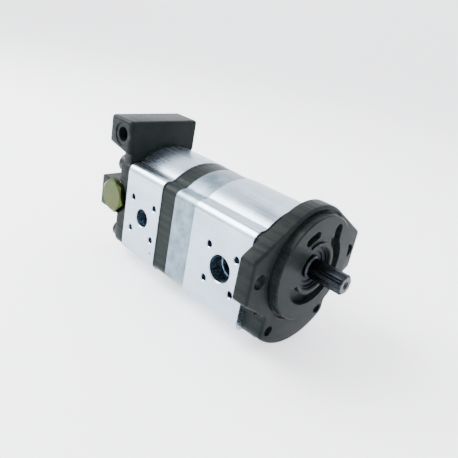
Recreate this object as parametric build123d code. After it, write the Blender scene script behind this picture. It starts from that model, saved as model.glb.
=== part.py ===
from build123d import *

import math
import os

# Tandem external gear pump, in millimetres.
# The origin is on the drive shaft's axis, in the flange's mounting face.
# +X points out of the shaft end and +Z is up, so each driven gear lies below its drive gear.

# Lengths of the stack, from the flange's mounting face backwards
flange_thickness = 12.5
cover_depth = 19.0
front_body_length = 60.2
coupling_housing_length = 23.7
middle_plate_length = 15.8
rear_body_length = 45.3
rear_cover_length = 13.5

# Casing section, measured from the midpoint between the two gear axes
casing_half_width = 43.5
dome_radius = 51.5
lug_half_height = 39.5
upper_lug_corner_radius = 7.2
lower_lug_corner_radius = 9.0
upper_blend_radius = 6.0
lower_blend_radius = 3.0
body_overhang = 1.0
body_edge_chamfer = 0.4

# Mounting flange: two-bolt flange with an 82.55 pilot
rim_radius = 46.2
ear_end_wall = 3.95
ear_top = 15.4
ear_bottom = -12.5
ear_corner_radius = 4.0
lobe_half_width = 38.0
lobe_bottom = -65.9
lobe_bottom_radius = 57.2
lobe_top = -37.5
lobe_corner_radius = 7.0
notch_radius = 4.0
flange_edge_radius = 1.0
pilot_diameter = 82.55
pilot_height = 6.35
pilot_chamfer = 0.8
ear_bolt_spacing = 106.4
ear_hole_diameter = 11.1

# Recesses in the pilot's face
seal_boss_wall = 3.5
recess_outer_radius = 29.0
recess_depth = 5.2
recess_start_angle = -154.0
recess_end_angle = 47.0
drop_pocket_radius = 3.2
drop_pocket_offset = 4.6
drop_pocket_angle = 58.5
drop_tail_turn = 4.0
bean_pocket_radius = 3.3
bean_pocket_offset = 0.2
bean_pocket_angles = (107.0, 124.0)
step_width = 5.0
step_depth = 1.4

# Gears
gear_teeth = 12
gear_module = 2.5
pressure_angle = 25.0
tooth_backlash = 0.16
root_clearance = 0.25
front_gear_width = 24.0
rear_gear_width = 14.0
front_block_length = 13.6
rear_block_length = 14.4
gear_end_clearance = 0.05
tip_clearance = 0.05

# Shafts and their bearings
journal_diameter = 18.0
journal_clearance = 0.03
bush_wall = 1.5
shaft_reach = 32.15
spline_teeth = 9
spline_major_diameter = 15.45
spline_minor_diameter = 12.2
spline_tip_width = 1.9
spline_root_width = 3.3
spline_end_chamfer = 1.2
spline_clearance = 0.1
spline_start = 5.0
centre_hole_diameter = 3.2
centre_hole_depth = 6.0
stub_end_gap = 0.5
shaft_tip_gap = 1.0
sleeve_diameter = 28.0
sleeve_end_gap = 0.6
sleeve_bore_diameter = 36.0
shaft_passage_clearance = 0.5

# Shaft seals
shaft_seal_diameter = 34.0
shaft_seal_width = 7.0
shaft_seal_front = 2.6
seal_case_wall = 1.2
seal_case_lip = 3.6
seal_lip_clearance = 0.02
garter_wire_diameter = 1.6
circlip_thickness = 1.5
circlip_bite = 1.2
circlip_width = 2.6
circlip_gap_angle = 36.0
circlip_gap_centre = 90.0
seal_bore_chamfer = 0.8
middle_seal_diameter = 32.0
middle_seal_width = 7.0

# Seals and dowels between the sections
section_seal_offset = 3.6
section_seal_width = 2.0
section_seal_depth = 1.6
balance_seal_inset = 1.2
balance_seal_width = 1.8
balance_seal_depth = 1.0
balance_seal_cut = -5.0
dowel_diameter = 6.0
dowel_length = 12.0
dowel_inset = 10.5

# Body bolts
bolt_diameter = 10.0
bolt_hole_clearance = 1.0
bolt_thread_pitch = 1.5
bolt_side_inset = 13.5
bolt_end_inset = 7.5
bolt_head_diameter = 16.0
bolt_head_height = 10.0
bolt_socket_size = 8.0
bolt_socket_depth = 5.0
bolt_end_depth = 4.5
bolt_end_chamfer = 0.8
washer_diameter = 18.0
washer_thickness = 2.0

# Ports of the gear sections
suction_port_diameter = 21.0
rear_suction_port_diameter = 15.2
pressure_port_diameter = 15.0
rear_pressure_port_diameter = 12.5
port_entry_depth = 14.0
port_step = 0.6
port_bolt_circle = 40.0
pressure_bolt_circle = 35.0
port_tap_drill = 5.2
port_tap_depth = 13.0
port_tap_countersink = 0.7
port_chamfer = 0.6
port_inner_reach = 6.0
side_dimple_diameter = 2.6
side_dimple_depth = 0.8
side_dimple_setback = 5.0
side_dimple_drop = 25.3

# Top block with the flow divider
block_front_setback = 3.0
block_rear_setback = 32.0
block_left = -44.7
block_right = 28.0
block_bottom = 30.4
block_rear_bottom = 35.5
block_top = 59.3
block_edge_radius = 2.2
web_bottom = 15.0
web_left = -40.0
flow_axis_setback = 14.0
flow_axis_height = 46.3
flow_port_drill = 12.4
flow_port_depth = 14.0
flow_port_spotface_diameter = 20.0
flow_port_spotface_depth = 0.8
flow_passage_diameter = 7.0
flow_bore_diameter = 12.0
flow_spool_length = 24.0
flow_spring_length = 15.0
flow_spool_clearance = 0.02
flow_spool_groove_length = 7.0
flow_spool_groove_depth = 1.6
flow_spool_nose_diameter = 5.0
flow_spool_nose_length = 3.0
flow_spring_wire = 1.2
flow_spring_clearance = 1.7
flow_spring_turns = 5
flow_plug_diameter = 17.0
flow_plug_length = 10.0
flow_plug_inset = 1.0
flow_plug_socket_size = 8.0
flow_plug_socket_depth = 5.0
flow_ring_section = 1.8

# Relief valve boss and its hexagon plug
boss_depth = 26.4
boss_side_inset = 0.25
boss_drain_wall = 3.5
boss_top = 2.2
boss_bottom = -26.0
boss_edge_radius = 1.5
rear_cover_edge_radius = 1.5
relief_axis_setback = 17.5
relief_axis_height = -9.6
relief_spotface_depth = 2.75
relief_spotface_diameter = 32.0
relief_washer_thickness = 1.5
relief_washer_diameter = 25.0
relief_hex_size = 27.0
relief_hex_height = 6.0
relief_hex_turn = 45.0
relief_hex_chamfer = 1.0
relief_thread_diameter = 18.0
relief_thread_length = 14.0
relief_thread_clearance = 1.0
relief_bore_diameter = 13.0
relief_bore_depth = 38.5
relief_seat_length = 6.0
relief_seat_hole = 6.0
relief_poppet_clearance = 0.05
relief_poppet_length = 9.0
relief_cone_length = 2.4
relief_poppet_nose_diameter = 4.6
relief_poppet_nose_length = 2.5
relief_spring_wire = 1.4
relief_spring_clearance = 1.7
relief_spring_turns = 4
relief_pocket_depth = 9.0
drain_diameter = 5.0
drain_reach = 14.0

# Working values of the model itself
overshoot = 1.0
match_tolerance = 0.01
involute_steps = 5
drive_tooth_angle = -90.0
spline_tooth_angle = 90.0

# Stations derived from the lengths
cover_back = -cover_depth
front_body_back = cover_back - front_body_length
housing_back = front_body_back - coupling_housing_length
plate_back = housing_back - middle_plate_length
rear_body_back = plate_back - rear_body_length
rear_cover_back = rear_body_back - rear_cover_length
block_front = rear_body_back - block_front_setback
block_rear = rear_body_back - block_rear_setback

# Gear sizes derived from teeth and module
pitch_radius = gear_teeth * gear_module / 2
tip_radius = pitch_radius + gear_module
root_radius = pitch_radius - gear_module * (1 + root_clearance)
base_radius = pitch_radius * math.cos(math.radians(pressure_angle))
centre_distance = 2 * pitch_radius
chamber_radius = tip_radius + tip_clearance
casing_centre = -centre_distance / 2
front_gear_front = cover_back - front_block_length
front_gear_back = front_gear_front - front_gear_width
rear_gear_front = plate_back - rear_block_length
rear_gear_back = rear_gear_front - rear_gear_width
front_port_x = (front_gear_front + front_gear_back) / 2
rear_port_x = (rear_gear_front + rear_gear_back) / 2
body_side = casing_half_width + body_overhang

# Ears and bolts, and dowels set in from the casing's sides
ear_half_span = (ear_bolt_spacing + ear_hole_diameter) / 2 + ear_end_wall
bolt_hole_diameter = bolt_diameter + bolt_hole_clearance
bolt_tap_drill = bolt_diameter - bolt_thread_pitch
bolt_half_spacing_y = casing_half_width - bolt_side_inset
bolt_half_spacing_z = lug_half_height - bolt_end_inset
dowel_reach = casing_half_width - dowel_inset

# Shaft and seal sizes derived from the values above
journal_radius = journal_diameter / 2
bush_inner_radius = journal_radius + journal_clearance
bush_outer_radius = bush_inner_radius + bush_wall
shaft_passage_radius = journal_radius + shaft_passage_clearance
shaft_seal_back = shaft_seal_front - shaft_seal_width
section_seal_radius = chamber_radius + section_seal_offset
seal_boss_radius = shaft_seal_diameter / 2 + seal_boss_wall
step_outer_radius = seal_boss_radius + step_width
drop_pocket_reach = recess_outer_radius + drop_pocket_offset
bean_pocket_reach = recess_outer_radius + bean_pocket_offset
bolt_places = [
    (y, casing_centre + z)
    for y in (-bolt_half_spacing_y, bolt_half_spacing_y)
    for z in (-bolt_half_spacing_z, bolt_half_spacing_z)
]
dowel_places = [(-dowel_reach, casing_centre), (dowel_reach, casing_centre)]
flow_axis_x = rear_body_back - flow_axis_setback
relief_axis_x = rear_body_back - relief_axis_setback
side_dimple_x = plate_back - side_dimple_setback
side_dimple_height = casing_centre - side_dimple_drop

# Flow divider, from the open end of its bore inwards
flow_plug_outer = block_right - flow_plug_inset
flow_plug_inner = flow_plug_outer - flow_plug_length
flow_spool_end = flow_plug_inner - flow_spring_length
flow_spool_start = flow_spool_end - flow_spool_length
flow_spring_diameter = flow_bore_diameter - 2 * flow_spring_clearance
flow_axis = (flow_axis_x, flow_axis_height)

# Relief valve, from its seat face inwards
boss_left = boss_side_inset - casing_half_width
boss_right = drain_reach + drain_diameter / 2 + boss_drain_wall
relief_seat_face = boss_left + relief_spotface_depth
relief_bore_end = relief_seat_face + relief_bore_depth
relief_hex_inner = relief_seat_face - relief_washer_thickness
relief_thread_end = relief_seat_face + relief_thread_length
relief_seat_front = relief_bore_end - relief_seat_length
relief_poppet_front = relief_seat_front - relief_poppet_length
relief_spring_start = relief_thread_end - relief_pocket_depth
relief_poppet_diameter = relief_bore_diameter - 2 * relief_poppet_clearance
relief_spring_diameter = relief_bore_diameter - 2 * relief_spring_clearance
relief_axis = (relief_axis_x, relief_axis_height)


# Basic shapes, all placed by the object's own coordinates
def along_x(outline, x_one, x_two):
    """Extrude an outline drawn in (Y, Z) between two stations."""
    low, high = sorted((x_one, x_two))
    return extrude(Plane.YZ.offset(low) * outline, amount=high - low, dir=(1, 0, 0))


def along_y(outline, y_one, y_two):
    """Extrude an outline drawn in (X, Z) between two stations."""
    low, high = sorted((y_one, y_two))
    return extrude(Plane.XZ.offset(-high) * outline, amount=high - low, dir=(0, -1, 0))


def rod_x(diameter, x_one, x_two, y=0.0, z=0.0):
    return along_x(Pos(y, z) * Circle(diameter / 2), x_one, x_two)


def rod_y(diameter, y_one, y_two, x, z):
    return along_y(Pos(x, z) * Circle(diameter / 2), y_one, y_two)


def cone_x(radius_one, radius_two, x_one, x_two, y=0.0, z=0.0):
    """A cone frustum along X, with radius_one at x_one and radius_two at x_two."""
    outline = Polygon((x_one, 0), (x_one, radius_one), (x_two, radius_two), (x_two, 0), align=None)
    return Pos(0, y, z) * revolve(outline, Axis.X)


def cone_y(radius_one, radius_two, y_one, y_two, x, z):
    """A cone frustum along Y, with radius_one at y_one and radius_two at y_two."""
    outline = Polygon((0, y_one), (radius_one, y_one), (radius_two, y_two), (0, y_two), align=None)
    return Pos(x, 0, z) * revolve(outline, Axis.Y)


def box(x_one, x_two, y_one, y_two, z_one, z_two):
    outline = Polygon((y_one, z_one), (y_two, z_one), (y_two, z_two), (y_one, z_two), align=None)
    return along_x(outline, x_one, x_two)


def turned(radius, angle):
    """A point at a radius and an angle in radians."""
    return radius * math.cos(angle), radius * math.sin(angle)


def polar(radius, angle):
    """A point at a radius and an angle in degrees."""
    return turned(radius, math.radians(angle))


def sector_ring(inner, outer, start, end):
    """A ring sector between two angles in degrees, with its centre on the shaft axis."""
    middle = (start + end) / 2
    edges = Curve() + [
        ThreePointArc(polar(outer, start), polar(outer, middle), polar(outer, end)),
        Line(polar(outer, end), polar(inner, end)),
        ThreePointArc(polar(inner, end), polar(inner, middle), polar(inner, start)),
        Line(polar(inner, start), polar(outer, start)),
    ]
    return make_face(edges)


# Outlines shared by the sections of the stack
def casing_outline(grow=0.0):
    """The casing section: domes above and below, flat sides and four corner lugs."""
    half_width = casing_half_width + grow
    lug_top = lug_half_height + grow
    radius = dome_radius + grow
    dome = Circle(radius) & Rectangle(2 * half_width, 2 * radius)
    block = Rectangle(2 * half_width, 2 * lug_top)
    block = fillet(block.vertices().group_by(Axis.Y)[-1], upper_lug_corner_radius)
    block = fillet(block.vertices().group_by(Axis.Y)[0], lower_lug_corner_radius)
    outline = dome + block
    notch = math.sqrt(radius**2 - lug_top**2)
    for group, blend in ((-1, upper_blend_radius), (0, lower_blend_radius)):
        corners = outline.vertices().filter_by(lambda v: abs(abs(v.X) - notch) < match_tolerance)
        outline = fillet(corners.group_by(Axis.Y)[group], blend)
    return Pos(0, casing_centre) * outline


def gear_chamber(radius):
    """Two overlapping circles, one round each gear."""
    return Circle(radius) + Pos(0, -centre_distance) * Circle(radius)


def stadium(radius):
    """A racetrack outline round both gear axes."""
    return gear_chamber(radius) + Pos(0, casing_centre) * Rectangle(2 * radius, centre_distance)


def section_seal(face_x, depth):
    """The moulded ring, or its groove, in a joint face; depth runs backwards when negative."""
    inner = section_seal_radius - section_seal_width / 2
    band = stadium(inner + section_seal_width) - stadium(inner)
    return along_x(band, face_x, face_x + depth)


def round_seal(face_x, depth):
    inner = section_seal_radius - section_seal_width / 2
    band = Circle(inner + section_seal_width) - Circle(inner)
    return along_x(band, face_x, face_x + depth)


def bolt_holes(x_one, x_two):
    holes = [rod_x(bolt_hole_diameter, x_one, x_two, y, z) for y, z in bolt_places]
    return Compound(children=holes)


def dowels_at(face_x):
    half = dowel_length / 2
    return [rod_x(dowel_diameter, face_x - half, face_x + half, y, z) for y, z in dowel_places]


def cut_all(solid, tools):
    for tool in tools:
        solid = solid - tool
    return solid


def toothed_outline(teeth, low_radius, high_radius, half_angle, first_angle, steps):
    """A wheel outline with teeth; half_angle gives a tooth's half angle in radians at a radius."""
    radii = [low_radius + (high_radius - low_radius) * i / steps for i in range(steps + 1)]
    pitch = 2 * math.pi / teeth
    edges = []
    for k in range(teeth):
        centre = math.radians(first_angle) + k * pitch
        rising = [turned(r, centre - half_angle(r)) for r in radii]
        falling = [turned(r, centre + half_angle(r)) for r in radii]
        next_foot = turned(low_radius, centre + pitch - half_angle(low_radius))
        tip = turned(high_radius, centre)
        root = turned(low_radius, centre + pitch / 2)
        edges.append(Polyline(*rising) if steps == 1 else Spline(*rising))
        edges.append(ThreePointArc(rising[-1], tip, falling[-1]))
        edges.append(Polyline(*falling[::-1]) if steps == 1 else Spline(*falling[::-1]))
        edges.append(ThreePointArc(falling[0], root, next_foot))
    return make_face(Curve() + edges)


def involute(radius):
    """The involute angle of the gear's pressure line at a radius."""
    slope = math.acos(min(1.0, base_radius / radius))
    return math.tan(slope) - slope


def gear_outline(first_angle):
    """An involute gear down to its base circle, on a plain root disc."""
    at_pitch = math.pi / (2 * gear_teeth) - tooth_backlash / (2 * pitch_radius)

    def half_angle(radius):
        return at_pitch + involute(pitch_radius) - involute(radius)

    crown = toothed_outline(gear_teeth, base_radius, tip_radius, half_angle, first_angle, involute_steps)
    valleys = []
    foot = half_angle(base_radius)
    pitch = 2 * math.pi / gear_teeth
    for k in range(gear_teeth):
        start = math.radians(first_angle) + k * pitch + foot
        end = start + pitch - 2 * foot
        angles = (math.degrees(start), math.degrees(end))
        valleys.append(sector_ring(root_radius, base_radius + overshoot, *angles))
    for valley in valleys:
        crown = crown - valley
    return crown


def spline_outline(grow=0.0):
    """The drive shaft's straight-sided splines; grow widens the outline for the sleeve."""
    low = spline_minor_diameter / 2 + grow
    high = spline_major_diameter / 2 + grow

    def half_angle(radius):
        share = (radius - low) / (high - low)
        width = spline_root_width + share * (spline_tip_width - spline_root_width)
        return math.asin((width / 2 + grow) / radius)

    return toothed_outline(spline_teeth, low, high, half_angle, spline_tooth_angle, 1)


def coil(wire, diameter, turns, y_one, y_two, x, z):
    """A helical spring along Y between two seats."""
    height = abs(y_two - y_one) - wire
    radius = (diameter - wire) / 2
    path = Helix(pitch=height / turns, height=height, radius=radius)
    section = Plane(origin=path @ 0, z_dir=path % 0) * Circle(wire / 2)
    spring = sweep(section, path=path)
    return Pos(x, min(y_one, y_two) + wire / 2, z) * Rot(-90, 0, 0) * spring


# Casings, from the flange backwards
def flange_outline():
    """The flange face: a round rim, two ears and the lower lobe."""
    tilt = math.atan2(ear_top, ear_half_span) + math.acos(rim_radius / math.hypot(ear_top, ear_half_span))
    touch = (rim_radius * math.cos(tilt), rim_radius * math.sin(tilt))
    drop = ear_half_span - lobe_half_width
    foot = (lobe_half_width, ear_bottom - drop)
    ear = Polygon((0, 0), touch, (ear_half_span, ear_top), (ear_half_span, ear_bottom), foot, align=None)
    lobe_circle = Pos(0, lobe_bottom + lobe_bottom_radius) * Circle(lobe_bottom_radius)
    lobe_strip = Pos(0, lobe_bottom / 2) * Rectangle(2 * lobe_half_width, -lobe_bottom)
    outline = Circle(rim_radius) + ear + mirror(ear, Plane.YZ) + (lobe_circle & lobe_strip)
    ends = outline.vertices().filter_by(lambda v: abs(abs(v.X) - ear_half_span) < match_tolerance)
    outline = fillet(ends, ear_corner_radius)
    notches = outline.vertices().filter_by(
        lambda v: abs(abs(v.X) - foot[0]) < match_tolerance and abs(v.Y - foot[1]) < match_tolerance
    )
    outline = fillet(notches, notch_radius)
    sink = math.sqrt(lobe_bottom_radius**2 - lobe_half_width**2)
    corner_z = lobe_bottom + lobe_bottom_radius - sink
    corners = outline.vertices().filter_by(
        lambda v: abs(abs(v.X) - lobe_half_width) < match_tolerance and abs(v.Y - corner_z) < match_tolerance
    )
    return fillet(corners, lobe_corner_radius)


def front_cover():
    plate = along_x(flange_outline(), 0, -flange_thickness)
    rim_edges = plate.edges().group_by(Axis.X)
    plate = fillet(rim_edges[0] + rim_edges[-1], flange_edge_radius)
    reach = 2 * dome_radius
    upper = Pos(0, lobe_top + reach) * Rectangle(2 * reach, 2 * reach)
    lower = Pos(0, lobe_top) * Rectangle(2 * lobe_half_width, 2 * reach)
    neck_outline = casing_outline() & (upper + lower)
    neck = along_x(neck_outline, -flange_thickness, cover_back)
    pilot = rod_x(pilot_diameter, 0, pilot_height)
    pilot = chamfer(pilot.edges().group_by(Axis.X)[-1], pilot_chamfer)
    cover = plate + neck + pilot
    face = pilot_height
    floor = pilot_height - recess_depth
    recess = sector_ring(seal_boss_radius, recess_outer_radius, recess_start_angle, recess_end_angle)
    drop_centre = polar(drop_pocket_reach, drop_pocket_angle)
    drop_tail = polar(recess_outer_radius - drop_pocket_radius, recess_end_angle - drop_tail_turn)
    drop = SlotCenterToCenter(math.dist(drop_centre, drop_tail), 2 * drop_pocket_radius)
    drop_turn = math.degrees(math.atan2(drop_centre[1] - drop_tail[1], drop_centre[0] - drop_tail[0]))
    drop_middle = ((drop_centre[0] + drop_tail[0]) / 2, (drop_centre[1] + drop_tail[1]) / 2)
    drop = Pos(*drop_middle) * Rot(0, 0, drop_turn) * drop
    bean_inner = bean_pocket_reach - bean_pocket_radius
    bean_outer = bean_pocket_reach + bean_pocket_radius
    bean = sector_ring(bean_inner, bean_outer, *bean_pocket_angles)
    for angle in bean_pocket_angles:
        bean = bean + Pos(*polar(bean_pocket_reach, angle)) * Circle(bean_pocket_radius)
    step = sector_ring(seal_boss_radius, step_outer_radius, recess_end_angle, bean_pocket_angles[1])
    groove_back = shaft_seal_front + circlip_thickness
    seal_bore = shaft_seal_diameter / 2
    tools = [
        along_x(recess, floor, face + overshoot),
        along_x(drop, floor, face + overshoot),
        along_x(bean, floor, face + overshoot),
        along_x(step, face - step_depth, face + overshoot),
        rod_x(shaft_seal_diameter, shaft_seal_back, face + overshoot),
        cone_x(seal_bore, seal_bore + seal_bore_chamfer, face - seal_bore_chamfer, face),
        rod_x(shaft_seal_diameter + 2 * circlip_bite, shaft_seal_front, groove_back),
        rod_x(2 * shaft_passage_radius, cover_back - overshoot, face),
        section_seal(cover_back, section_seal_depth),
    ]
    for y in (-ear_bolt_spacing / 2, ear_bolt_spacing / 2):
        tools.append(rod_x(ear_hole_diameter, -flange_thickness - overshoot, overshoot, y))
    for y, z in bolt_places:
        tools.append(rod_x(bolt_diameter, cover_back, -bolt_end_depth, y, z))
        if z < casing_centre:
            tools.append(rod_x(bolt_tap_drill, -bolt_end_depth, overshoot, y, z))
    return cut_all(cover, tools + dowels_at(cover_back))


def port_holes(port_x, side, diameter, bolt_circle):
    """One side port, from the flat side into the gear chamber, with its four tapped holes."""
    face = side * body_side
    deep = side * port_inner_reach
    outside = face + side * overshoot
    lip = diameter / 2 + port_chamfer
    tools = [
        rod_y(diameter - 2 * port_step, deep, outside, port_x, casing_centre),
        rod_y(diameter, face - side * port_entry_depth, outside, port_x, casing_centre),
        cone_y(diameter / 2, lip, face - side * port_chamfer, face, port_x, casing_centre),
    ]
    half = bolt_circle / (2 * math.sqrt(2))
    drill = port_tap_drill
    for dx in (-half, half):
        for dz in (-half, half):
            x = port_x + dx
            z = casing_centre + dz
            tools.append(rod_y(drill, face - side * port_tap_depth, outside, x, z))
            rim = drill / 2 + port_tap_countersink
            tools.append(cone_y(drill / 2, rim, face - side * port_tap_countersink, face, x, z))
    return tools


def pump_body(front_x, back_x, port_x, left_port, right_port):
    """An aluminium gear housing between two stations."""
    body = along_x(casing_outline(body_overhang), front_x, back_x)
    ends = body.edges().group_by(Axis.X)
    body = chamfer(ends[0] + ends[-1], body_edge_chamfer)
    body = body - along_x(gear_chamber(chamber_radius), front_x + overshoot, back_x - overshoot)
    body = body - bolt_holes(front_x + overshoot, back_x - overshoot)
    tools = port_holes(port_x, -1, left_port, port_bolt_circle)
    tools += port_holes(port_x, 1, right_port, pressure_bolt_circle)
    return cut_all(body, tools + dowels_at(front_x) + dowels_at(back_x))


def rear_body():
    ports = (rear_suction_port_diameter, rear_pressure_port_diameter)
    body = pump_body(plate_back, rear_body_back, rear_port_x, *ports)
    dimple_floor = side_dimple_depth - body_side
    dimple = (side_dimple_diameter, dimple_floor, -body_side - overshoot, side_dimple_x, side_dimple_height)
    body = body - rod_y(*dimple)
    return body - rod_x(drain_diameter, rear_port_x, rear_body_back - overshoot, drain_reach, casing_centre)


def coupling_housing():
    housing = along_x(casing_outline(), front_body_back, housing_back)
    housing = housing - bolt_holes(front_body_back + overshoot, housing_back - overshoot)
    housing = housing - rod_x(sleeve_bore_diameter, front_body_back + overshoot, housing_back - overshoot)
    tools = [section_seal(front_body_back, -section_seal_depth)]
    return cut_all(housing, tools + dowels_at(front_body_back) + dowels_at(housing_back))


def middle_plate():
    plate = along_x(casing_outline(), housing_back, plate_back)
    plate = plate - bolt_holes(housing_back + overshoot, plate_back - overshoot)
    tools = [
        rod_x(middle_seal_diameter, housing_back + overshoot, housing_back - middle_seal_width),
        rod_x(2 * shaft_passage_radius, housing_back, plate_back - overshoot),
        round_seal(housing_back, -section_seal_depth),
        section_seal(plate_back, section_seal_depth),
    ]
    return cut_all(plate, tools + dowels_at(housing_back) + dowels_at(plate_back))


def top_block():
    """The flow divider's block, whose underside rises towards the rear."""
    outline = Polygon(
        (block_front, block_bottom),
        (block_front, block_top),
        (block_rear, block_top),
        (block_rear, block_rear_bottom),
        align=None,
    )
    block = along_y(outline, block_left, block_right)
    return fillet(block.edges(), block_edge_radius)


def rear_cover():
    cover = along_x(casing_outline(), rear_body_back, rear_cover_back)
    cover = fillet(cover.edges().group_by(Axis.X)[0], rear_cover_edge_radius)
    web_top = block_bottom + block_edge_radius
    web = box(block_front, rear_cover_back, web_left, block_right, web_bottom, web_top)
    boss_front = rear_cover_back + overshoot
    boss_rear = rear_cover_back - boss_depth
    boss = box(boss_front, boss_rear, boss_left, boss_right, boss_bottom, boss_top)
    boss = fillet(boss.edges().group_by(Axis.X)[0], boss_edge_radius)
    cover = cover + web + top_block() + boss
    cover = cover - bolt_holes(rear_body_back + overshoot, rear_cover_back - overshoot)
    half_drain = drain_diameter / 2
    thread_end = relief_thread_end + relief_thread_clearance
    spotface_floor = block_left + flow_port_spotface_depth
    tools = [
        rod_y(flow_port_spotface_diameter, block_left - overshoot, spotface_floor, *flow_axis),
        rod_y(flow_port_drill, block_left - overshoot, block_left + flow_port_depth, *flow_axis),
        rod_y(flow_passage_diameter, block_left, flow_spool_start + overshoot, *flow_axis),
        rod_y(flow_bore_diameter, flow_spool_start, block_right + overshoot, *flow_axis),
        rod_y(flow_plug_diameter, flow_plug_inner, block_right + overshoot, *flow_axis),
        rod_y(relief_spotface_diameter, relief_seat_face, -body_side - overshoot, *relief_axis),
        rod_y(relief_thread_diameter, relief_seat_face - overshoot, thread_end, *relief_axis),
        rod_y(relief_bore_diameter, relief_seat_face, relief_bore_end, *relief_axis),
        rod_y(drain_diameter, relief_bore_end, drain_reach, *relief_axis),
        rod_x(drain_diameter, rear_body_back + overshoot, relief_axis_x, drain_reach, casing_centre),
        box(
            relief_axis_x - half_drain,
            relief_axis_x + half_drain,
            drain_reach - half_drain,
            drain_reach + half_drain,
            casing_centre,
            relief_axis_height,
        ),
        section_seal(rear_body_back, -section_seal_depth),
    ]
    return cut_all(cover, tools + dowels_at(rear_body_back))


# Shafts and gears
def spline_end(x_inner, x_outer):
    """A splined length whose outer end is chamfered."""
    direction = 1 if x_outer > x_inner else -1
    body = along_x(spline_outline(), x_inner, x_outer)
    full = spline_major_diameter / 2
    start = x_outer - direction * spline_end_chamfer
    keep = rod_x(spline_major_diameter + overshoot, x_inner, start)
    keep = keep + cone_x(full, full - spline_end_chamfer, start, x_outer)
    return body & keep


def drive_shaft():
    shaft = rod_x(journal_diameter, spline_start, front_body_back)
    shaft = chamfer(shaft.edges().group_by(Axis.X)[-1], spline_end_chamfer)
    shaft = shaft + spline_end(spline_start, shaft_reach)
    shaft = shaft + along_x(gear_outline(drive_tooth_angle), front_gear_front, front_gear_back)
    middle = (front_body_back + housing_back) / 2
    shaft = shaft + spline_end(front_body_back, middle + shaft_tip_gap / 2)
    hole = rod_x(centre_hole_diameter, shaft_reach - centre_hole_depth, shaft_reach + overshoot)
    hole_radius = centre_hole_diameter / 2
    mouth = cone_x(hole_radius, centre_hole_diameter, shaft_reach - hole_radius, shaft_reach)
    return shaft - hole - mouth


def rear_drive_shaft():
    shaft = rod_x(journal_diameter, housing_back, rear_body_back + stub_end_gap)
    shaft = shaft + along_x(gear_outline(drive_tooth_angle), rear_gear_front, rear_gear_back)
    middle = (front_body_back + housing_back) / 2
    return shaft + spline_end(housing_back, middle - shaft_tip_gap / 2)


def coupling_sleeve():
    front_x = front_body_back - sleeve_end_gap
    back_x = housing_back + sleeve_end_gap
    sleeve = rod_x(sleeve_diameter, front_x, back_x)
    sleeve = chamfer(sleeve.edges(), spline_end_chamfer)
    return sleeve - along_x(spline_outline(spline_clearance), front_x + overshoot, back_x - overshoot)


def driven_gear(front_x, gear_front, gear_back, back_x):
    tooth_offset = drive_tooth_angle + 180.0 + 180.0 / gear_teeth
    outline = Pos(0, -centre_distance) * gear_outline(tooth_offset)
    gear = along_x(outline, gear_front, gear_back)
    stub_front = front_x - stub_end_gap
    stub_back = back_x + stub_end_gap
    return gear + rod_x(journal_diameter, stub_front, stub_back, 0, -centre_distance)


# Bearing blocks and what they carry
def block_spans(front_x, gear_front, gear_back, back_x):
    """Front and back block of a section as (outer face, inner face)."""
    return [(front_x, gear_front + gear_end_clearance), (back_x, gear_back - gear_end_clearance)]


def balance_seal(outer, inner):
    """A three-shaped seal in a block's outer face."""
    step = math.copysign(balance_seal_depth, inner - outer)
    wide = gear_chamber(tip_radius - balance_seal_inset)
    narrow = gear_chamber(tip_radius - balance_seal_inset - balance_seal_width)
    reach = 4 * tip_radius
    keep = Pos(balance_seal_cut + reach / 2, casing_centre) * Rectangle(reach, reach)
    return along_x((wide - narrow) & keep, outer, outer + step)


def through_x(diameter, x_one, x_two, z):
    """A cutting rod that passes both stations."""
    low, high = sorted((x_one, x_two))
    return rod_x(diameter, low - overshoot, high + overshoot, 0, z)


def bearing_block(outer, inner):
    block = along_x(gear_chamber(tip_radius), outer, inner)
    for z in (0, -centre_distance):
        block = block - through_x(2 * bush_outer_radius, outer, inner, z)
    return block - balance_seal(outer, inner)


def journal_bush(outer, inner, z):
    bush = rod_x(2 * bush_outer_radius, outer, inner, 0, z)
    return bush - through_x(2 * bush_inner_radius, outer, inner, z)


# Shaft seals
def seal_ring(inner_radius, outer_radius, x_one, x_two):
    return along_x(Circle(outer_radius) - Circle(inner_radius), x_one, x_two)


def shaft_seal_parts():
    """The case, the rubber lip and the garter spring of the front shaft seal."""
    outer = shaft_seal_diameter / 2
    bore = outer - seal_case_wall
    case = seal_ring(bore, outer, shaft_seal_front, shaft_seal_back)
    flange_inner = journal_radius + seal_case_lip
    case = case + seal_ring(flange_inner, outer, shaft_seal_front, shaft_seal_front - seal_case_wall)
    lip_inner = journal_radius + seal_lip_clearance
    web_front = shaft_seal_front - seal_case_wall
    web_back = web_front - seal_case_wall
    lip_back = shaft_seal_back + seal_case_wall
    hub = lip_inner + 2 * seal_case_wall
    lip = seal_ring(lip_inner, bore, web_front, web_back) + seal_ring(lip_inner, hub, web_back, lip_back)
    garter_x = lip_back + garter_wire_diameter
    garter = Torus(hub, garter_wire_diameter / 2)
    garter = Pos(garter_x, 0, 0) * Rot(0, 90, 0) * garter
    lip = lip - garter
    return case, lip, garter


def seal_circlip():
    outer = shaft_seal_diameter / 2 + circlip_bite
    inner = outer - circlip_width
    front_x = shaft_seal_front + circlip_thickness
    ring = seal_ring(inner, outer, shaft_seal_front, front_x)
    half_gap = circlip_gap_angle / 2
    start = circlip_gap_centre - half_gap
    wedge = sector_ring(inner - overshoot, outer + overshoot, start, start + circlip_gap_angle)
    return ring - along_x(wedge, shaft_seal_front - overshoot, front_x + overshoot)


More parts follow.
